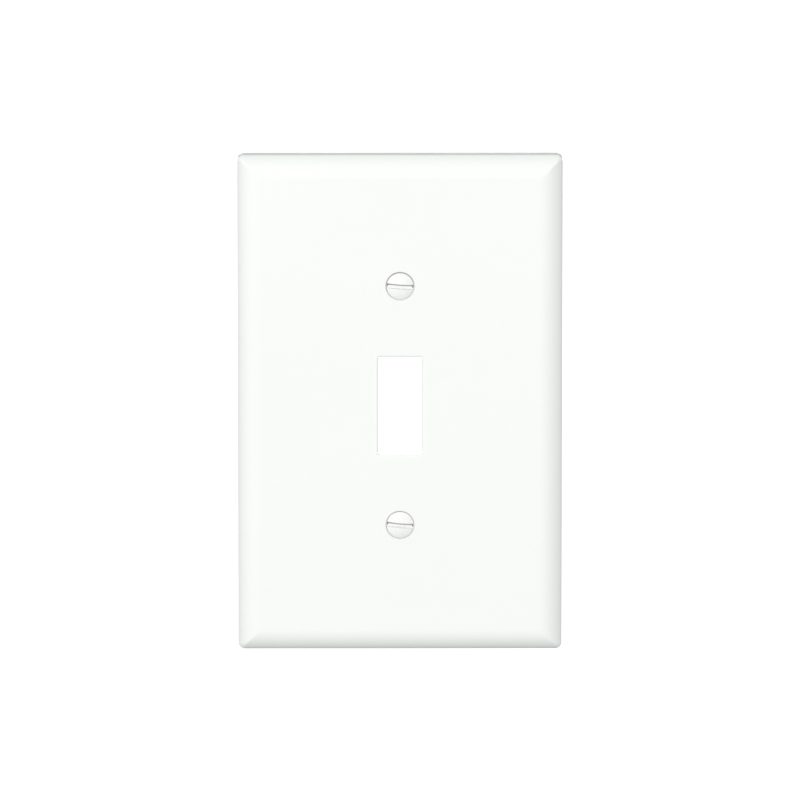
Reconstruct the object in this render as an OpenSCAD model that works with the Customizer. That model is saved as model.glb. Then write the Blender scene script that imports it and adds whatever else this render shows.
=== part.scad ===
// One-gang wall plate for a toggle switch, with its two captive mounting screws.
// The plate stands upright: +Z is up, the front face looks along -Y and +X is to the
// right of someone facing it. The origin is the centre of the back rim, in the plane
// of the wall. All lengths are in millimetres.

/* [Plate] */

// Width of the plate across its back rim
plate_w = 79.8; // [69:0.1:90]
// Height of the plate along its back rim
plate_h = 124.8; // [114:0.1:140]
// Depth of the plate from the wall to the front face
plate_t = 6.5; // [5:0.1:9]
// Width of the curved bevel, from the outline to the flat of the face
bevel_w = 5.5; // [3:0.1:8]
// Height of the upright lip between the wall and the bevel
lip_h = 2.9; // [1:0.1:3]
// Radius of the outline's four corners
corner_r = 1.6; // [0.5:0.1:4]
// Thickness of the face and of the side walls
wall_t = 2.2; // [1.5:0.1:2.5]

/* [Toggle opening] */

// Width of the opening for the switch's toggle
toggle_w = 10.9; // [10.3:0.1:12]
// Height of the opening for the switch's toggle
toggle_h = 24.7; // [23.8:0.1:26]
// Radius of the opening's inside corners
toggle_r = 0.4; // [0.2:0.1:2]

/* [Back of the plate] */

// Thickness of the stiffening ribs and of the frame round the opening
rib_t = 1.2; // [0.8:0.1:2]
// Height of the ribs, the frame and the screw bosses above the inside of the face
rib_h = 1.3; // [0.5:0.1:2]
// Distance of each upright rib from the middle of the plate
rib_x = 21; // [15:0.5:30]
// Outside diameter of the boss round each screw hole
boss_d = 9.2; // [8:0.1:12]

/* [Screws] */

// Distance between the two screws, the standard spacing of a switch's strap
screw_spacing = 60.325; // [60:0.025:61]
// Length of a screw from the edge of its head to its tip
screw_len = 12.7; // [9.5:0.1:25.4]
// Diameter over the crests of the No. 6 thread
thread_d = 3.505; // [3.4:0.005:3.6]
// Diameter of the plain shank between the head and the groove
shank_d = 2.97; // [2.8:0.01:3.1]
// Diameter of the groove that the retainer sits in
groove_d = 2.6; // [2.4:0.01:2.7]
// Diameter of the head at its edge
head_d = 6.62; // [6.4:0.01:7]
// Height of the domed top of the head above its edge
dome_h = 0.9; // [0.5:0.1:1.2]
// Height of the straight edge between the dome and the cone under the head
head_edge = 0.15; // [0.1:0.05:0.3]
// How far the edge of a seated head lies below the face
head_sink = 0.15; // [0:0.05:0.3]
// Angle of the cone under the head, from side to side
head_angle = 82; // [80:1:90]
// Width of the screwdriver slot
slot_w = 1.05; // [0.9:0.05:1.3]
// Depth of the slot below the top of the dome
slot_depth = 1.1; // [1:0.1:1.8]
// Clockwise turn of the upper screw's slot from level
upper_turn = 4; // [-90:1:90]
// Clockwise turn of the lower screw's slot from level
lower_turn = 5; // [-90:1:90]
// Height of the chamfer at the screw's tip
tip_chamfer = 0.6; // [0.2:0.1:1]

/* [Screw holes and retainers] */

// Diameter of the countersink where it opens in the face
countersink_d = 7.2; // [6.8:0.05:7.4]
// Diameter of the screw hole through the plate
hole_d = 4.0; // [3.7:0.05:4.4]
// Outside diameter of a retaining washer
retainer_d = 7.0; // [5.5:0.1:8]
// Thickness of a retaining washer
retainer_t = 0.5; // [0.3:0.1:1]
// Radial clearance between a retaining washer and its groove
retainer_play = 0.05; // [0.02:0.01:0.1]
// Gap on each side between a retaining washer and the walls of its groove
groove_gap = 0.1; // [0.05:0.05:0.2]
// How far a seated screw can move forward until its washer meets the boss
screw_travel = 1.3; // [0.5:0.1:2]

/* [Hidden] */

$fn = 96;
eps = 0.5;
bevel_drop = plate_t - lip_h;
bevel_r = (bevel_w * bevel_w + bevel_drop * bevel_drop) / (2 * bevel_drop);
cone_slope = tan(head_angle / 2);
head_r = head_d / 2;
dome_r = (head_r * head_r + dome_h * dome_h) / (2 * dome_h);
cone_h = (head_d - shank_d) / 2 / cone_slope;
countersink_h = (countersink_d - hole_d) / 2 / cone_slope;
retainer_depth = wall_t + rib_h + screw_travel;
groove_start = retainer_depth - head_sink - groove_gap;
groove_end = groove_start + retainer_t + 2 * groove_gap;
retainer_hole_d = groove_d + 2 * retainer_play;
slit_w = 0.35;
slit_reach = 2.4;
slit_count = 4;

// The plate ------------------------------------------------------------------

// Outline of the plate seen from the front, moved in by "inset" on every side.
module outline(inset) {
    radius = max(corner_r - inset, 0.3);
    across = plate_w / 2 - inset - radius;
    up = plate_h / 2 - inset - radius;
    for (x = [-across, across])
        for (y = [-up, up])
            translate([x, y])
                circle(r = radius);
    square([2 * across, 2 * (up + radius)], center = true);
    square([2 * (across + radius), 2 * up], center = true);
}

// Cross-section of a plate "span" wide: a flat face with a round bevel at each end.
module section(span, inset) {
    intersection() {
        translate([inset - span / 2, inset - plate_t])
            square([span - 2 * inset, plate_t - inset + eps]);
        union() {
            for (side = [-1, 1])
                translate([side * (span / 2 - bevel_w), bevel_r - plate_t])
                    circle(r = bevel_r - inset);
            translate([bevel_w - span / 2, inset - plate_t])
                square([span - 2 * bevel_w, plate_t]);
            translate([-span / 2, bevel_r - plate_t])
                square([span, plate_t]);
        }
    }
}

// Solid shape of the plate moved in by "inset"; it runs a little past the wall plane.
module plate_block(inset) {
    intersection() {
        linear_extrude(height = plate_h, center = true)
            section(plate_w, inset);
        rotate([0, 90, 0])
            linear_extrude(height = plate_w, center = true)
                section(plate_h, inset);
        translate([0, eps, 0])
            rotate([90, 0, 0])
                linear_extrude(height = plate_t + 2 * eps)
                    outline(inset);
    }
}

// Places its children on the inside of the face, rising towards the wall.
module on_inside_face() {
    translate([0, wall_t - plate_t, 0])
        rotate([-90, 0, 0])
            children();
}

// Upright ribs, and cross ribs that tie the bosses to the side walls.
module stiffening_ribs() {
    on_inside_face() {
        for (x = [-rib_x, rib_x])
            translate([x - rib_t / 2, wall_t - plate_h / 2, -eps])
                cube([rib_t, plate_h - 2 * wall_t, rib_h + eps]);
        for (y = [-screw_spacing / 2, screw_spacing / 2])
            translate([wall_t - plate_w / 2, y - rib_t / 2, -eps])
                cube([plate_w - 2 * wall_t, rib_t, rib_h + eps]);
    }
}

// Raised frame round the toggle opening.
module opening_frame() {
    width = toggle_w + 2 * rib_t;
    height = toggle_h + 2 * rib_t;
    on_inside_face()
        translate([-width / 2, -height / 2, -eps])
            cube([width, height, rib_h + eps]);
}

module screw_bosses() {
    for (z = [-screw_spacing / 2, screw_spacing / 2])
        translate([0, 0, z])
            on_inside_face()
                translate([0, 0, -eps])
                    cylinder(h = rib_h + eps, d = boss_d);
}

// Countersunk holes that the screws pass through.
module screw_holes() {
    for (z = [-screw_spacing / 2, screw_spacing / 2])
        translate([0, -plate_t, z])
            rotate([-90, 0, 0]) {
                cylinder(h = countersink_h, d1 = countersink_d, d2 = hole_d);
                translate([0, 0, -eps])
                    cylinder(h = eps, d = countersink_d);
                cylinder(h = plate_t, d = hole_d);
            }
}

module toggle_opening() {
    across = toggle_w / 2 - toggle_r;
    up = toggle_h / 2 - toggle_r;
    translate([0, eps, 0])
        rotate([90, 0, 0])
            linear_extrude(height = plate_t + 2 * eps) {
                for (x = [-across, across])
                    for (y = [-up, up])
                        translate([x, y])
                            circle(r = toggle_r);
                square([2 * across, toggle_h], center = true);
                square([toggle_w, 2 * up], center = true);
            }
}

// Everything behind the wall plane is cut away.
module behind_wall() {
    translate([-plate_w, 0, -plate_h])
        cube([2 * plate_w, 2 * eps, 2 * plate_h]);
}

module wall_plate() {
    color([0.95, 0.96, 0.95])
        difference() {
            union() {
                difference() {
                    plate_block(0);
                    plate_block(wall_t);
                }
                stiffening_ribs();
                opening_frame();
                screw_bosses();
            }
            behind_wall();
            toggle_opening();
            screw_holes();
        }
}

// Screws ---------------------------------------------------------------------

// Oval head and shank, with depth 0 at the head's edge.
module screw_body() {
    intersection() {
        translate([0, 0, dome_r - dome_h])
            sphere(r = dome_r);
        translate([0, 0, -dome_h - eps])
            cylinder(h = dome_h + eps + head_edge, d = head_d);
    }
    translate([0, 0, head_edge])
        cylinder(h = cone_h, d1 = head_d, d2 = shank_d);
    cylinder(h = groove_start, d = shank_d);
    cylinder(h = screw_len - tip_chamfer, d = groove_d);
    translate([0, 0, groove_end])
        cylinder(h = screw_len - tip_chamfer - groove_end, d = thread_d);
    translate([0, 0, screw_len - tip_chamfer])
        cylinder(h = tip_chamfer, d1 = thread_d, d2 = thread_d - 2 * tip_chamfer);
}

// A slotted screw, its slot turned clockwise from level as seen from the front.
module screw(turn) {
    color([0.93, 0.93, 0.92])
        rotate([0, 0, turn])
            difference() {
                screw_body();
                translate([-head_d, -slot_w / 2, -dome_h - eps])
                    cube([2 * head_d, slot_w, slot_depth + eps]);
            }
}

// Places its children in a screw hole, with depth 0 in the face.
module at_screw(side) {
    translate([0, -plate_t, side * screw_spacing / 2])
        rotate([-90, 0, 0])
            children();
}

module upper_screw() {
    at_screw(1)
        translate([0, 0, head_sink])
            screw(upper_turn);
}

module lower_screw() {
    at_screw(-1)
        translate([0, 0, head_sink])
            screw(lower_turn);
}

// Retainers ------------------------------------------------------------------

// Thin washer with slits, so that it can be pushed over the thread.
module retainer() {
    color([0.86, 0.87, 0.84])
        translate([0, 0, retainer_depth])
            difference() {
                cylinder(h = retainer_t, d = retainer_d);
                translate([0, 0, -eps])
                    cylinder(h = retainer_t + 2 * eps, d = retainer_hole_d);
                for (i = [0 : slit_count - 1])
                    rotate([0, 0, (i + 0.5) * 360 / slit_count])
                        translate([0, -slit_w / 2, -eps])
                            cube([slit_reach, slit_w, retainer_t + 2 * eps]);
            }
}

module upper_screw_retainer() {
    at_screw(1)
        retainer();
}

module lower_screw_retainer() {
    at_screw(-1)
        retainer();
}

wall_plate();
upper_screw();
lower_screw();
upper_screw_retainer();
lower_screw_retainer();
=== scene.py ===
"""Looks of the wall plate: a moulded plate, two slotted screws and their retaining washers.

Shapes are built in millimetres in the frame's axes (+Z up, the face looks along -Y)
and scaled to metres at the end. Depths are measured from the face towards the wall.
"""

import math

import bmesh
import bpy
from mathutils import Matrix, Vector


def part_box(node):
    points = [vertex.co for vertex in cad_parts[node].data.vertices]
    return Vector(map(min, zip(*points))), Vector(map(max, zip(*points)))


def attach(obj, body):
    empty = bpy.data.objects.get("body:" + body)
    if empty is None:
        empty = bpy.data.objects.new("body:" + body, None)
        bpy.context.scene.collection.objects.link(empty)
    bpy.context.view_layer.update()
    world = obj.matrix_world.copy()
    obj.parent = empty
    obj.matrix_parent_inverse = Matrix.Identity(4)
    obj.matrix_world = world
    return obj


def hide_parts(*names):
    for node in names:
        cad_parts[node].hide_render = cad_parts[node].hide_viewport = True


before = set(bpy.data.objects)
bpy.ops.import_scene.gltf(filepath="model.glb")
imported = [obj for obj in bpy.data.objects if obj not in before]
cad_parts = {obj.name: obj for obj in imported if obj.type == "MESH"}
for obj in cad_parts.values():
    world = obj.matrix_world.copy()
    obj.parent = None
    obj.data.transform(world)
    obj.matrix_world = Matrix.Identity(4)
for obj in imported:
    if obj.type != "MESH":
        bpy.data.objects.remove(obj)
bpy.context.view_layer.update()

MM = 0.001

# Dimensions ------------------------------------------------------------------

skim = 0.01  # how far a rounded edge stands clear of the surface that it cuts or meets

plate_low, plate_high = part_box("wall_plate")
half_w = plate_high.x / MM
half_h = plate_high.z / MM
plate_t = -plate_low.y / MM

bevel_w = 5.5
lip_h = 2.9
wall_t = 2.2
corner_r = 1.6
mitre_r = 0.35
mitre_start = 2.2  # inset from the rim where the corner's radius has come down to mitre_r
bevel_drop = plate_t - lip_h
bevel_r = (bevel_w**2 + bevel_drop**2) / (2 * bevel_drop)

toggle_half_w = 5.45
toggle_half_h = 12.35
toggle_r = 0.4
rib_t = 1.2
rib_h = 1.3
rib_x = 21.0
boss_r = 4.6

screw_low, screw_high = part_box("upper_screw")
screw_z = (screw_low.z + screw_high.z) / 2 / MM
screw_end = screw_high.y / MM + plate_t
head_r = 3.31
head_sink = 0.15
head_edge = 0.15
paint_end = 1.0  # depth where the head's enamel ends and the zinc begins
dome_h = 0.9
head_angle = 82
cone_slope = math.tan(math.radians(head_angle / 2))
dome_r = (head_r**2 + dome_h**2) / (2 * dome_h)
dome_centre = head_sink + dome_r - dome_h
slot_w = 1.05
slot_depth = 1.1
slot_floor = head_sink - dome_h + slot_depth
slot_turn = {"upper_screw": 4, "lower_screw": 5}
shank_r = 1.485
groove_r = 1.3
thread_r = 3.505 / 2
thread_pitch = 25.4 / 32
thread_depth = 0.613 * thread_pitch  # of a 60 degree screw thread
root_r = thread_r - thread_depth
root_chamfer = 0.25
tip_chamfer = 0.6
countersink_r = 3.6
hole_r = 2.0
hole_end = wall_t + rib_h

washer_low, washer_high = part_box("upper_screw_retainer")
washer_start = washer_low.y / MM + plate_t
washer_end = washer_high.y / MM + plate_t
washer_r = (washer_high.x - washer_low.x) / 2 / MM
washer_hole_r = 1.35
slit_w = 0.35
slit_reach = 2.4
slit_count = 4
groove_gap = 0.1


# Outlines and profiles -------------------------------------------------------


def arc(centre, radius, start, end, steps):
    """Points on an arc about centre, from the start to the end angle in degrees."""
    points = []
    for i in range(steps + 1):
        angle = math.radians(start + (end - start) * i / steps)
        points.append((centre[0] + radius * math.cos(angle), centre[1] + radius * math.sin(angle)))
    return points


def rounded_rectangle(across, up, radius, steps=8):
    """Outline with half sizes across and up, anticlockwise."""
    points = []
    for quarter, (sx, sz) in enumerate(((1, 1), (-1, 1), (-1, -1), (1, -1))):
        centre = (sx * (across - radius), sz * (up - radius))
        points += arc(centre, radius, 90 * quarter, 90 * quarter + 90, steps)
    return points


def circle(radius, steps=96):
    """Points round a circle, without repeating the first."""
    return arc((0, 0), radius, 0, 360 - 360 / steps, steps - 1)


def rounded(corners, steps=4):
    """A path through corners (a, b, radius), with an arc in place of each rounded corner."""
    path = []
    for i, (a, b, radius) in enumerate(corners):
        corner = Vector((a, b))
        if not radius:
            path.append(corner)
            continue
        back = (Vector(corners[i - 1][:2]) - corner).normalized()
        ahead = (Vector(corners[i + 1][:2]) - corner).normalized()
        half = back.angle(ahead) / 2
        centre = corner + (back + ahead).normalized() * radius / math.sin(half)
        first = corner + back * radius / math.tan(half) - centre
        last = corner + ahead * radius / math.tan(half) - centre
        turn = first.angle_signed(last)
        for step in range(steps + 1):
            spoke = first.copy()
            spoke.rotate(Matrix.Rotation(-turn * step / steps, 2))
            path.append(centre + spoke)
    return path


# Mesh building ---------------------------------------------------------------


def solid(name, loops):
    """A closed object skinned over loops with equally many points, capped at both ends."""
    mesh = bmesh.new()
    rings = [[mesh.verts.new(point) for point in loop] for loop in loops]
    count = len(rings[0])
    for near, far in zip(rings, rings[1:]):
        for i in range(count):
            j = (i + 1) % count
            mesh.faces.new((near[i], near[j], far[j], far[i]))
    mesh.faces.new(reversed(rings[0]))
    mesh.faces.new(rings[-1])
    bmesh.ops.recalc_face_normals(mesh, faces=mesh.faces)
    data = bpy.data.meshes.new(name)
    mesh.to_mesh(data)
    mesh.free()
    piece = bpy.data.objects.new(name, data)
    bpy.context.scene.collection.objects.link(piece)
    return piece


def on_face(points, depth, x=0.0, z=0.0):
    """Lifts a flat outline to a depth behind the face."""
    return [(x + a, depth - plate_t, z + b) for a, b in points]


def lathe(name, profile, z, steps=96):
    """A solid of revolution about the screw axis from a profile of (radius, depth)."""
    return solid(name, [on_face(circle(radius, steps), depth, z=z) for radius, depth in profile])


def combine(piece, operation, *tools):
    """Joins, cuts or intersects a piece with each tool, and removes the tools."""
    for tool in tools:
        modifier = piece.modifiers.new("combine", "BOOLEAN")
        modifier.operation = operation
        modifier.solver = "MANIFOLD"
        modifier.object = tool
    graph = bpy.context.evaluated_depsgraph_get()
    made = bpy.data.meshes.new_from_object(piece.evaluated_get(graph))
    piece.modifiers.clear()
    piece.data = made
    for tool in tools:
        bpy.data.objects.remove(tool)
    return piece


def finish_piece(piece, node, body, materials):
    """Cleans and shades a piece, scales it to metres and puts it in place of its CAD node."""
    merge_distance = 0.004
    shortest_edge = 0.002
    sharp_angle = 35
    mesh = bmesh.new()
    mesh.from_mesh(piece.data)
    bmesh.ops.remove_doubles(mesh, verts=mesh.verts, dist=merge_distance)
    bmesh.ops.dissolve_degenerate(mesh, edges=mesh.edges, dist=shortest_edge)
    bmesh.ops.scale(mesh, vec=(MM, MM, MM), verts=mesh.verts)
    mesh.to_mesh(piece.data)
    mesh.free()
    piece.data.shade_smooth()
    piece.data.set_sharp_from_angle(angle=math.radians(sharp_angle))
    piece.data.materials.clear()
    for material in materials:
        piece.data.materials.append(material)
    shading = piece.modifiers.new("shading", "WEIGHTED_NORMAL")
    shading.keep_sharp = True
    shading.mode = "FACE_AREA_WITH_ANGLE"
    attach(piece, body)
    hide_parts(node)


# The plate -------------------------------------------------------------------


def plate_profile():
    """Section through the plate's edge as (inset, depth), from the face round to the inside."""
    centre = (bevel_w, bevel_r)
    at_face = 270  # angle on the bevel's arcs where they run into the flat face
    outer_end = at_face - math.degrees(math.asin(bevel_w / bevel_r))
    inner_r = bevel_r - wall_t
    inner_end = at_face - math.degrees(math.asin((bevel_w - wall_t) / inner_r))
    outer = arc(centre, bevel_r, at_face, outer_end, steps=28)
    inner = arc(centre, inner_r, inner_end, at_face, steps=12)
    rim_r = 0.2
    rim = [
        (*outer[-1], 0),
        (0, plate_t, rim_r),
        (wall_t, plate_t, rim_r),
        (*inner[0], 0),
    ]
    return outer[:-1] + rounded(rim) + inner[1:]


def corner_radius(inset):
    """The outline's corner tightens quickly from the rim to the crisp mitre of the bevel."""
    share = min(max(inset, 0) / mitre_start, 1)
    return corner_r + (mitre_r - corner_r) * math.sqrt(share)


def plate_shell():
    """The hollow plate without its openings: its edge profile carried round the outline."""
    loops = []
    for inset, depth in plate_profile():
        outline = rounded_rectangle(half_w - inset, half_h - inset, corner_radius(inset))
        loops.append(on_face(outline, depth))
    return solid("wall_plate_moulding", loops)


def raised(name, outline, x=0.0, z=0.0):
    """A filleted pad standing on the inside of the face; outline(offset) is its grown edge."""
    fillet = 0.35
    edge = 0.2
    buried = 0.6
    foot = fillet + 2 * skim
    profile = rounded(
        [
            (foot, -buried, 0),
            (foot, skim / 2, 0),
            (0, 0, fillet),
            (0, rib_h, edge),
            (-2 * edge, rib_h, 0),
        ]
    )
    loops = [on_face(outline(offset), wall_t + height, x, z) for offset, height in profile[:-1]]
    return solid(name, loops)


def stiffening_ribs():
    """Two upright ribs, and two cross ribs through the bosses; their ends die into the walls."""
    end_gap = 0.4
    end_r = 0.3
    long_up = half_h - wall_t - end_gap
    long_across = half_w - wall_t - end_gap

    def upright(offset):
        return rounded_rectangle(rib_t / 2 + offset, long_up + offset, end_r + offset, steps=3)

    def level(offset):
        return rounded_rectangle(long_across + offset, rib_t / 2 + offset, end_r + offset, steps=3)

    ribs = [raised("rib", upright, x=x) for x in (-rib_x, rib_x)]
    ribs += [raised("rib", level, z=z) for z in (-screw_z, screw_z)]
    return ribs


def opening_frame():
    """Frame round the toggle opening."""

    def outline(offset):
        across = toggle_half_w + rib_t + offset
        up = toggle_half_h + rib_t + offset
        return rounded_rectangle(across, up, toggle_r + rib_t + offset)

    return raised("frame", outline)


def screw_bosses():
    """A round boss for each screw hole."""

    def outline(offset):
        return circle(boss_r + offset)

    return [raised("boss", outline, z=z) for z in (-screw_z, screw_z)]


def run_through(profile):
    """Runs a hole's rounded profile straight on, clear of the face and of the back."""
    clear = 2
    start = (profile[1][0], -clear)
    end = (profile[-2][0], hole_end + clear)
    return [start, *profile[1:-1], end]


def toggle_cutter():
    """The toggle opening, with softened edges at the face and at the back of its frame."""
    front_r = 0.42
    back_r = 0.25
    profile = rounded(
        [
            (1, -skim, 0),
            (0, -skim, front_r),
            (0, hole_end + skim, back_r),
            (1, hole_end + skim, 0),
        ],
        steps=5,
    )
    loops = []
    for offset, depth in run_through(profile):
        across = toggle_half_w + offset
        up = toggle_half_h + offset
        loops.append(on_face(rounded_rectangle(across, up, toggle_r + offset), depth))
    return solid("toggle_cutter", loops)


def screw_hole_cutter(z):
    """A countersunk hole with a softened edge at the face and behind the boss."""
    cone_end = (countersink_r - hole_r) / cone_slope
    front_r = 0.1
    back_r = 0.2
    profile = rounded(
        [
            (countersink_r + 1, -skim, 0),
            (countersink_r, -skim, front_r),
            (hole_r, cone_end, front_r),
            (hole_r, hole_end + skim, back_r),
            (hole_r + 1, hole_end + skim, 0),
        ]
    )
    return lathe("hole_cutter", run_through(profile), z)


def build_plate():
    """The moulding with what stands on its inside, cut through by its three openings."""
    plate = plate_shell()
    combine(plate, "UNION", *stiffening_ribs(), opening_frame(), *screw_bosses())
    screw_holes = [screw_hole_cutter(z) for z in (screw_z, -screw_z)]
    combine(plate, "DIFFERENCE", toggle_cutter(), *screw_holes)
    finish_piece(plate, "wall_plate", "plate", [plate_plastic()])


# Screws ----------------------------------------------------------------------


def screw_blank():
    """Oval head, plain shank, groove for the washer and the core of the thread."""
    edge_r = 0.08
    under_edge_r = 0.04
    neck_r = 0.3
    groove_edge_r = 0.05
    tip_r = 0.1
    run_in = 0.1
    crown = 270  # angle on the dome's arc where it crosses the axis
    top_gap = 1  # degrees left open round the axis, for the cap
    dome_edge = math.degrees(math.asin(head_r / dome_r))
    dome = arc((0, dome_centre), dome_r, crown + top_gap, crown + dome_edge, steps=24)
    edge_end = head_sink + head_edge
    cone_end = edge_end + (head_r - shank_r) / cone_slope
    paint_r = head_r - (paint_end - edge_end) * cone_slope
    groove_start = washer_start - groove_gap
    groove_end = washer_end + groove_gap
    body = [
        (*dome[-2], 0),
        (head_r, head_sink, edge_r),
        (head_r, edge_end, under_edge_r),
        (paint_r, paint_end, 0),
        (shank_r, cone_end, neck_r),
        (shank_r, groove_start, groove_edge_r),
        (groove_r, groove_start, groove_edge_r),
        (groove_r, groove_end, 0),
        (root_r, groove_end + run_in, 0),
        (root_r, screw_end - root_chamfer, tip_r),
        (root_r - root_chamfer, screw_end, tip_r),
        (root_r - tip_chamfer, screw_end, 0),
    ]
    return lathe("screw", dome[:-2] + rounded(body), screw_z)


def helical_ridge():
    """One continuous thread ridge, longer than the thread at both ends."""
    flank_angle = 30
    crest = thread_pitch / 16
    foot_r = thread_r - 0.75 * thread_pitch  # inside the core, so that the two overlap
    foot = crest + (thread_r - foot_r) * math.tan(math.radians(flank_angle))
    section = [(foot_r, -foot), (thread_r, -crest), (thread_r, crest), (foot_r, foot)]
    start = washer_end - thread_pitch
    turns = (screw_end - start) / thread_pitch + 1
    steps = 48
    loops = []
    for i in range(int(turns * steps) + 1):
        angle = 2 * math.pi * i / steps
        along = start + thread_pitch * i / steps
        loop = []
        for radius, offset in section:
            across = radius * math.cos(angle)
            up = screw_z - radius * math.sin(angle)
            loop.append((across, along + offset - plate_t, up))
        loops.append(loop)
    return solid("ridge", loops)


def thread_envelope():
    """The room that the thread fills: chamfered at the tip, and it fades in at the groove."""
    start = washer_end + groove_gap
    clear = 0.1
    fade_in = 0.5
    profile = [
        (groove_r - clear, start + skim),
        (thread_r + clear, start + fade_in),
        (thread_r + clear, screw_end - tip_chamfer + clear),
        (thread_r - tip_chamfer, screw_end - skim),
    ]
    return lathe("envelope", profile, screw_z, steps=64)


def slot_cutter(turn):
    """The screwdriver slot, whose softened edges follow the dome."""
    edge = 0.07
    floor_r = 0.06
    clear = 2
    overrun = 0.7
    reach = head_r + overrun
    half = slot_w / 2
    stations = 28
    loops = []
    for i in range(stations + 1):
        x = -reach + 2 * reach * i / stations
        top = dome_centre - math.sqrt(dome_r**2 - x**2 - half**2)
        right = rounded(
            [
                (half + edge, top - clear, 0),
                (half + edge, top, 0),
                (half, top, edge),
                (half, slot_floor, floor_r),
                (0, slot_floor, 0),
            ]
        )
        section = [(-a, b) for a, b in right] + [(a, b) for a, b in reversed(right)]
        loops.append([(x, depth - plate_t, across) for across, depth in section])
    cutter = solid("slot", loops)
    cutter.data.transform(Matrix.Rotation(math.radians(turn), 4, "Y"))
    cutter.data.transform(Matrix.Translation((0, 0, screw_z)))
    return cutter


def build_screw(name, body, side):
    """A screw, built in the upper hole and moved down to the lower one when side is -1."""
    ridge = combine(helical_ridge(), "INTERSECT", thread_envelope())
    screw = combine(screw_blank(), "UNION", ridge)
    combine(screw, "DIFFERENCE", slot_cutter(slot_turn[name]))
    screw.name = name + "_slotted"
    if side < 0:
        screw.data.transform(Matrix.Translation((0, 0, -2 * screw_z)))
    finish_piece(screw, name, body, [white_enamel(name, side), zinc_plating()])
    for face in screw.data.polygons:
        behind_paint = face.center.y > (paint_end - plate_t) * MM
        face.material_index = int(behind_paint)


# Retaining washers -----------------------------------------------------------


def washer_cutter():
    """The washer's hole with its slits, each slit with a round end."""
    clear = 1
    half = slit_w / 2
    reach = slit_reach - half
    opening = math.degrees(math.asin(half / washer_hole_r))
    pitch = 360 / slit_count
    outline = []
    for i in range(slit_count):
        middle = (i + 0.5) * pitch
        end = Vector((reach, 0))
        end.rotate(Matrix.Rotation(math.radians(middle), 2))
        outline += arc(end, half, middle - 90, middle + 90, steps=8)
        next_slit = middle + pitch
        outline += arc((0, 0), washer_hole_r, middle + opening, next_slit - opening, steps=16)
    depths = (washer_start - clear, washer_end + clear)
    return solid("slits", [on_face(outline, depth, z=screw_z) for depth in depths])


def build_washer(name, body, side):
    """A retaining washer, moved down to the lower screw when side is -1."""
    edge_r = 0.12
    core_r = 0.5
    profile = rounded(
        [
            (core_r, washer_start, 0),
            (washer_r, washer_start, edge_r),
            (washer_r, washer_end, edge_r),
            (core_r, washer_end, 0),
        ]
    )
    washer = combine(lathe("washer", profile, screw_z), "DIFFERENCE", washer_cutter())
    washer.name = name + "_washer"
    if side < 0:
        washer.data.transform(Matrix.Translation((0, 0, -2 * screw_z)))
    finish_piece(washer, name, body, [retainer_nylon()])


# Materials -------------------------------------------------------------------


def math_node(tree, operation, first, second=0):
    """A math node on two values, each a number or another node's output."""
    node = tree.nodes.new("ShaderNodeMath")
    node.operation = operation
    for socket, value in zip(node.inputs, (first, second)):
        if isinstance(value, (int, float)):
            socket.default_value = value
        else:
            tree.links.new(value, socket)
    return node.outputs["Value"]


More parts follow.
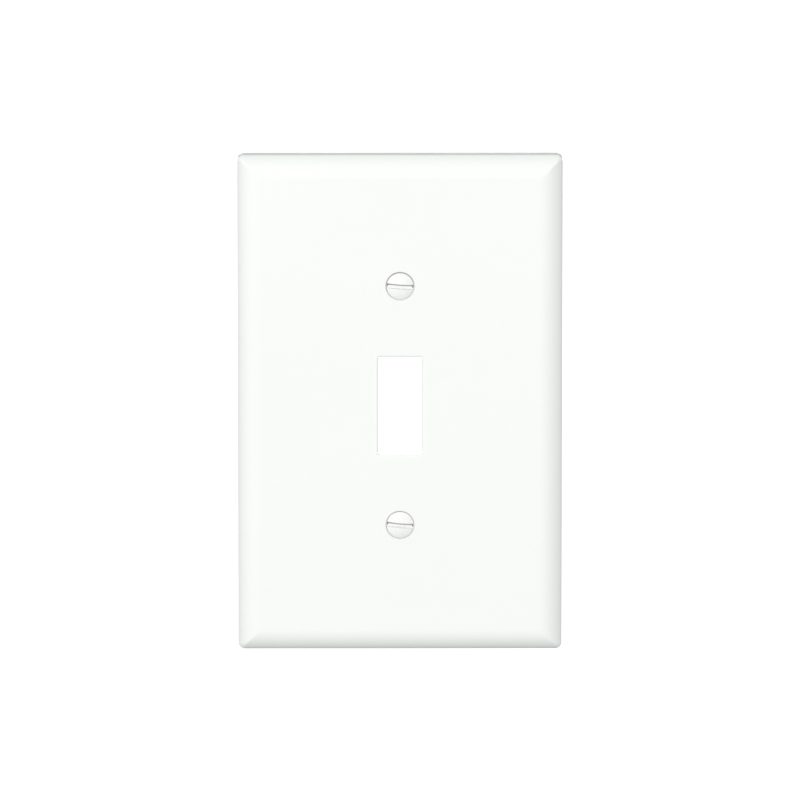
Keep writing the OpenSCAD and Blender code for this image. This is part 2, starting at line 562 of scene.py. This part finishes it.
class Nodes:
    """Short calls for building one material's node tree."""

    def __init__(self, name):
        self.material = bpy.data.materials.new(name)
        self.material.use_nodes = True
        self.tree = self.material.node_tree
        self.shader = self.tree.nodes["Principled BSDF"]
        place = self.tree.nodes.new("ShaderNodeTexCoord")
        self.place = place.outputs["Object"]

    def set(self, **values):
        """Sets the shader's own sockets; underscores stand for spaces."""
        for name, value in values.items():
            self.shader.inputs[name.replace("_", " ")].default_value = value

    def noise(self, size_mm, detail=3.0, place=None):
        """Fractal noise from 0 to 1, whose coarsest grain has the given size."""
        node = self.tree.nodes.new("ShaderNodeTexNoise")
        node.inputs["Scale"].default_value = 1 / (size_mm * MM)
        node.inputs["Detail"].default_value = detail
        self.tree.links.new(place or self.place, node.inputs["Vector"])
        return node.outputs["Fac"]

    def scratches(self, size_mm, stretch):
        """Noise drawn out along the directions that stretch scales down."""
        lean = (0.2, 0.5, 0.3)
        mapping = self.tree.nodes.new("ShaderNodeMapping")
        mapping.inputs["Rotation"].default_value = lean
        mapping.inputs["Scale"].default_value = stretch
        self.tree.links.new(self.place, mapping.inputs["Vector"])
        return self.noise(size_mm, 2.0, mapping.outputs["Vector"])

    def ramp(self, source, low, high, start=0.0, end=1.0):
        """Maps source from low..high to start..end, clamped."""
        node = self.tree.nodes.new("ShaderNodeMapRange")
        settings = {"From Min": low, "From Max": high, "To Min": start, "To Max": end}
        for name, value in settings.items():
            node.inputs[name].default_value = value
        self.tree.links.new(source, node.inputs["Value"])
        return node.outputs["Result"]

    def fade(self, source, low_mm, high_mm, start=0.0, end=1.0):
        """A ramp between two distances in millimetres."""
        return self.ramp(source, low_mm * MM, high_mm * MM, start, end)

    def cloud(self, size_mm, detail=3.0, start=0.0, end=1.0):
        """Noise with its contrast raised, from start to end."""
        return self.ramp(self.noise(size_mm, detail), 0.3, 0.7, start, end)

    def blend(self, share, first, second):
        """Mixes two colours by share."""
        node = self.tree.nodes.new("ShaderNodeMix")
        node.data_type = "RGBA"
        sockets = [s for s in node.inputs if s.type == "RGBA"]
        for socket, value in zip(sockets, (first, second)):
            if isinstance(value, tuple):
                socket.default_value = (*value, 1)
            else:
                self.tree.links.new(value, socket)
        self.tree.links.new(share, node.inputs["Factor"])
        return [s for s in node.outputs if s.type == "RGBA"][0]

    def math(self, operation, first, second=0):
        """A math node in this material."""
        return math_node(self.tree, operation, first, second)

    def product(self, first, *others):
        """Several masks multiplied together."""
        for other in others:
            first = self.math("MULTIPLY", first, other)
        return first

    def axis(self, name):
        """The place along one axis."""
        node = self.tree.nodes.new("ShaderNodeSeparateXYZ")
        self.tree.links.new(self.place, node.inputs["Vector"])
        return node.outputs[name]

    def beyond(self, name, limit_mm):
        """How far the distance from the middle along an axis goes beyond a limit."""
        return self.math("SUBTRACT", self.math("ABSOLUTE", self.axis(name)), limit_mm * MM)

    def rim_inset(self):
        """Distance in from the nearest side of the plate."""
        outside = self.math("MAXIMUM", self.beyond("X", half_w), self.beyond("Z", half_h))
        return self.product(outside, -1)

    def opening_distance(self):
        """Distance out from the walls of the toggle opening."""
        across = self.beyond("X", toggle_half_w)
        up = self.beyond("Z", toggle_half_h)
        return self.math("MAXIMUM", across, up)

    def inside_mask(self):
        """1 on the inside of the plate, 0 on its outside, lip and opening walls."""
        start = 0.7 * wall_t
        end = 0.9 * wall_t
        behind_face = self.fade(self.axis("Y"), start - plate_t, end - plate_t)
        within_rim = self.fade(self.rim_inset(), start, end)
        off_opening = self.fade(self.opening_distance(), 0.2, 0.3)
        return self.product(behind_face, within_rim, off_opening)

    def screw_distance(self):
        """Distance from the axis of the nearer screw."""
        offsets = (self.axis("X"), self.beyond("Z", screw_z))
        squares = [self.product(offset, offset) for offset in offsets]
        return self.math("SQRT", self.math("ADD", *squares))

    def slot_height(self, side, turn):
        """Height above the slot's middle plane."""
        angle = math.radians(turn)
        up = self.math("SUBTRACT", self.axis("Z"), side * screw_z * MM)
        upright = self.product(up, math.cos(angle))
        return self.math("ADD", upright, self.product(self.axis("X"), math.sin(angle)))

    def dome_distance(self, side):
        """Distance from the centre of the head's dome."""
        node = self.tree.nodes.new("ShaderNodeVectorMath")
        node.operation = "DISTANCE"
        node.inputs[1].default_value = (0, (dome_centre - plate_t) * MM, side * screw_z * MM)
        self.tree.links.new(self.place, node.inputs[0])
        return node.outputs["Value"]

    def bump(self, height, distance_mm, strength, below=None):
        """A bumped normal, on top of another one if below is given."""
        node = self.tree.nodes.new("ShaderNodeBump")
        node.inputs["Distance"].default_value = distance_mm * MM
        node.inputs["Strength"].default_value = strength
        self.tree.links.new(height, node.inputs["Height"])
        if below is not None:
            self.tree.links.new(below, node.inputs["Normal"])
        return node.outputs["Normal"]

    def link(self, source, name):
        """Lets a node's output drive one of the shader's sockets."""
        self.tree.links.new(source, self.shader.inputs[name])


def plate_plastic():
    """Glossy white moulded plastic: polished outside, finely textured on the inside.

    Painted shade darkens the countersinks, most of all at the top of the upper one.
    """
    nodes = Nodes("plate_plastic")
    nodes.set(IOR=1.53, Subsurface_Weight=0.08, Subsurface_Scale=0.0008)
    nodes.shader.inputs["Subsurface Radius"].default_value = (1.0, 1.0, 0.9)
    dull_white = (0.856, 0.873, 0.850)
    white = (0.868, 0.881, 0.861)
    speck_grey = (0.66, 0.66, 0.62)
    countersink_shade_grey = (0.74, 0.74, 0.72)
    deep_countersink_shade_grey = (0.5, 0.5, 0.48)

    inside = nodes.inside_mask()
    colour = nodes.blend(nodes.cloud(38, 2.0), dull_white, white)
    specks = nodes.ramp(nodes.noise(0.55, 1.0), 0.76, 0.8)
    colour = nodes.blend(nodes.product(specks, 0.25), colour, speck_grey)
    # Painted shade: the countersinks are darkened where shade falls, darkest at the top of the
    # upper hole.
    in_hole = nodes.fade(nodes.screw_distance(), countersink_r, countersink_r + 0.08, 1, 0)
    countersink_painted_shade = nodes.product(in_hole, nodes.math("SUBTRACT", 1, inside))
    upper_hole_painted_shadow = nodes.fade(nodes.axis("Z"), screw_z - 0.5 * head_r, screw_z + head_r)
    countersink_shade_colour = nodes.blend(upper_hole_painted_shadow, countersink_shade_grey, deep_countersink_shade_grey)
    nodes.link(nodes.blend(countersink_painted_shade, colour, countersink_shade_colour), "Base Color")

    smears = nodes.ramp(nodes.scratches(9, (1.0, 1.0, 0.25)), 0.35, 0.7, 0.11, 0.17)
    grain = nodes.ramp(inside, 0, 1, 0.0, 0.28)
    nodes.link(nodes.math("ADD", smears, grain), "Roughness")

    flow = nodes.bump(nodes.noise(7, 2.0), 0.05, 0.05)
    texture = nodes.product(nodes.noise(0.16, 2.0), inside)
    nodes.link(nodes.bump(texture, 0.03, 0.35, flow), "Normal")
    return nodes.material


def white_enamel(name, side):
    """Baked white enamel on the head: slot edges worn, rim worn and painted shade, slot ends
    painted shade.
    """
    nodes = Nodes(name + "_enamel")
    nodes.set(IOR=1.5, Coat_Weight=0.35, Coat_Roughness=0.12)
    dull_white = (0.86, 0.865, 0.85)
    white = (0.885, 0.885, 0.87)
    chip_grey = (0.55, 0.55, 0.53)
    rim_wear_and_shade_grey = (0.55, 0.55, 0.54)
    edge_grey = (0.4, 0.4, 0.4)
    shadow_grey = (0.42, 0.42, 0.42)
    slot_end_shade_grey = (0.2, 0.2, 0.2)
    waviness = 0.04 * MM
    wall = slot_w / 2

    colour = nodes.blend(nodes.cloud(1.3), dull_white, white)
    chips = nodes.ramp(nodes.noise(0.3, 2.0), 0.72, 0.75)
    colour = nodes.blend(nodes.product(chips, 0.5), colour, chip_grey)

    uneven = nodes.ramp(nodes.noise(0.8), 0, 1, -waviness, waviness)
    from_axis = nodes.math("ADD", nodes.screw_distance(), uneven)
    # Darker rim: partly worn enamel, partly painted shade of the gap round the head.
    rim_wear_and_shade = nodes.fade(from_axis, head_r - 0.06, head_r)
    colour = nodes.blend(rim_wear_and_shade, colour, rim_wear_and_shade_grey)

    height = nodes.slot_height(side, slot_turn[name])
    from_middle = nodes.math("ABSOLUTE", height)
    from_wall = nodes.math("ABSOLUTE", nodes.math("SUBTRACT", from_middle, wall * MM))
    near_wall = nodes.fade(nodes.math("ADD", from_wall, uneven), 0.06, 0.12, 0.5, 0)
    on_dome = nodes.fade(nodes.dome_distance(side), dome_r - 0.12, dome_r - 0.06)
    colour = nodes.blend(nodes.product(near_wall, on_dome), colour, edge_grey)

    in_slot = nodes.fade(from_middle, wall - 0.02, wall, 1, 0)
    under_lip = nodes.fade(height, wall - 0.5, wall - 0.35)
    colour = nodes.blend(nodes.product(in_slot, under_lip), colour, shadow_grey)
    # Painted shade at the slot's ends, where they open into the unlit gap round the head.
    at_end = nodes.fade(from_axis, head_r - 0.45, head_r - 0.25)
    upper = nodes.fade(height, -0.35, -0.05)
    slot_end_painted_shade = nodes.product(at_end, in_slot, upper)
    nodes.link(nodes.blend(slot_end_painted_shade, colour, slot_end_shade_grey), "Base Color")

    nodes.link(nodes.cloud(0.7, 2.0, 0.2, 0.34), "Roughness")
    nodes.link(nodes.bump(nodes.noise(0.45, 2.0), 0.02, 0.3), "Normal")
    return nodes.material


def zinc_plating():
    """Bright zinc on the shank and thread, cloudy, with tool lines round the thread."""
    nodes = Nodes("zinc_plating")
    nodes.set(Metallic=1.0)
    dull_zinc = (0.58, 0.60, 0.63)
    bright_zinc = (0.74, 0.75, 0.76)
    nodes.link(nodes.blend(nodes.cloud(1.1, 4.0), dull_zinc, bright_zinc), "Base Color")
    nodes.link(nodes.cloud(0.4, 3.0, 0.24, 0.42), "Roughness")
    nodes.link(nodes.bump(nodes.scratches(0.12, (0.15, 1.0, 0.15)), 0.01, 0.3), "Normal")
    return nodes.material


def retainer_nylon():
    """Natural nylon, milky and slightly yellow."""
    nodes = Nodes("retainer_nylon")
    nodes.set(IOR=1.53, Subsurface_Weight=0.6, Subsurface_Scale=0.0006)
    nodes.shader.inputs["Subsurface Radius"].default_value = (1.0, 0.9, 0.7)
    deep_cream = (0.70, 0.69, 0.60)
    pale_cream = (0.80, 0.79, 0.71)
    nodes.link(nodes.blend(nodes.cloud(1.5), deep_cream, pale_cream), "Base Color")
    nodes.link(nodes.cloud(0.5, 2.0, 0.38, 0.52), "Roughness")
    nodes.link(nodes.bump(nodes.noise(0.18, 2.0), 0.02, 0.3), "Normal")
    return nodes.material


def floor_paper():
    """Seamless white studio paper."""
    nodes = Nodes("floor_paper")
    nodes.set(Roughness=0.9, Emission_Color=(1, 1, 1, 1), Emission_Strength=0.5)
    dull_white = (0.88, 0.88, 0.88)
    white = (0.90, 0.90, 0.90)
    nodes.link(nodes.blend(nodes.cloud(2.5, 4.0), dull_white, white), "Base Color")
    return nodes.material


# Scene -----------------------------------------------------------------------


def build_floor():
    """A wide pale floor below the plate, which doesn't light it or show in its gloss."""
    drop = 0.12
    half_size = 8.0
    mesh = bmesh.new()
    bmesh.ops.create_grid(mesh, x_segments=1, y_segments=1, size=half_size)
    data = bpy.data.meshes.new("floor")
    mesh.to_mesh(data)
    mesh.free()
    floor = bpy.data.objects.new("floor", data)
    floor.location.z = plate_low.z - drop
    floor.visible_diffuse = False
    floor.visible_glossy = False
    data.materials.append(floor_paper())
    bpy.context.scene.collection.objects.link(floor)


def direction(azimuth, elevation):
    """Unit vector from the plate; azimuth 0 is straight in front and grows to the right."""
    across = math.radians(azimuth)
    up = math.radians(elevation)
    return Vector((math.sin(across) * math.cos(up), -math.cos(across) * math.cos(up), math.sin(up)))


def glow(tree, place, toward, sharpness, strength):
    """Strength of a round patch of light in the tent; sharper patches are smaller."""
    dot = tree.nodes.new("ShaderNodeVectorMath")
    dot.operation = "DOT_PRODUCT"
    dot.inputs[1].default_value = toward
    tree.links.new(place, dot.inputs[0])
    facing = math_node(tree, "MAXIMUM", dot.outputs["Value"], 0)
    falloff = math_node(tree, "POWER", facing, sharpness)
    return math_node(tree, "MULTIPLY", falloff, strength)


def background(tree, colour, strength):
    """A background shader, whose strength is a number or another node's output."""
    node = tree.nodes.new("ShaderNodeBackground")
    node.inputs["Color"].default_value = (*colour, 1)
    if isinstance(strength, float):
        node.inputs["Strength"].default_value = strength
    else:
        tree.links.new(strength, node.inputs["Strength"])
    return node.outputs["Background"]


def build_world():
    """Even light tent, brighter in front and on the left, dimmer overhead and behind the plate.

    The camera itself sees a plain white backdrop. Each patch of the tent is given by its
    direction, sharpness and strength, and a negative strength dims the tent.
    """
    world = bpy.data.worlds.new("studio")
    world.use_nodes = True
    bpy.context.scene.world = world
    tree = world.node_tree
    tree.nodes.clear()
    place = tree.nodes.new("ShaderNodeTexCoord").outputs["Generated"]
    patches = [
        (direction(0, 0), 12, 0.18),
        (direction(0, -30), 4, 0.14),
        (direction(-60, 0), 4, 0.32),
        (direction(160, -25), 8, -0.37),
        (direction(180, 14), 30, -0.3),
        (direction(0, 85), 4, -0.1),
    ]
    glow_colour = (1, 1, 0.98)
    tent_colour = (0.99, 1, 1)
    tent_strength = 0.57
    backdrop_colour = (1, 1, 1)
    backdrop_strength = 1.0

    total = 0
    for patch in patches:
        total = math_node(tree, "ADD", glow(tree, place, *patch), total)
    light = tree.nodes.new("ShaderNodeAddShader")
    tree.links.new(background(tree, glow_colour, total), light.inputs[0])
    tree.links.new(background(tree, tent_colour, tent_strength), light.inputs[1])
    backdrop = background(tree, backdrop_colour, backdrop_strength)
    ray = tree.nodes.new("ShaderNodeLightPath")
    mix = tree.nodes.new("ShaderNodeMixShader")
    tree.links.new(ray.outputs["Is Camera Ray"], mix.inputs["Fac"])
    tree.links.new(light.outputs["Shader"], mix.inputs[1])
    tree.links.new(backdrop, mix.inputs[2])
    output = tree.nodes.new("ShaderNodeOutputWorld")
    tree.links.new(mix.outputs["Shader"], output.inputs["Surface"])


def softbox(name, toward, distance, size, power, shine=True):
    """A rectangular area light aimed at the plate; without shine it isn't mirrored in the gloss."""
    data = bpy.data.lights.new(name, "AREA")
    data.shape = "RECTANGLE"
    data.size, data.size_y = size
    data.energy = power
    light = bpy.data.objects.new(name, data)
    light.location = toward * distance
    light.rotation_euler = toward.to_track_quat("Z", "Y").to_euler()
    light.visible_camera = False
    light.visible_glossy = shine
    bpy.context.scene.collection.objects.link(light)


def build_lights():
    """Boxes over the camera, on each side and behind, and a card behind the toggle opening."""
    softbox("front_box", direction(0, 24), 3.2, (0.6, 0.6), 40.5, shine=False)
    softbox("left_box", direction(-54, 31), 1.6, (0.45, 0.45), 3.6)
    softbox("right_box", direction(54, 31), 1.6, (0.45, 0.45), 1.7)
    softbox("back_box", direction(180, 0), 3.2, (0.6, 0.6), 14, shine=False)
    softbox("card", direction(180, 3), 0.4, (0.22, 0.2), 0.38)


def build_camera():
    """A long lens a little above the plate's middle and just left of it."""
    distance = 3.4
    azimuth = -0.2
    elevation = 13.2
    focal_length = 621
    aim = Vector((0, 0.3 * plate_low.y, 0.44 * MM))
    back = direction(azimuth, elevation)
    data = bpy.data.cameras.new("camera")
    data.lens = focal_length
    data.sensor_width = 36
    data.clip_start = 0.1
    data.clip_end = 100
    camera = bpy.data.objects.new("camera", data)
    camera.location = aim + back * distance
    camera.rotation_euler = (-back).to_track_quat("-Z", "Y").to_euler()
    bpy.context.scene.collection.objects.link(camera)
    bpy.context.scene.camera = camera


build_plate()
build_screw("upper_screw", "upper_screw_body", 1)
build_screw("lower_screw", "lower_screw_body", -1)
build_washer("upper_screw_retainer", "upper_retainer_body", 1)
build_washer("lower_screw_retainer", "lower_retainer_body", -1)
build_floor()
build_world()
build_lights()
build_camera()
bpy.context.scene.view_settings.view_transform = "Standard"
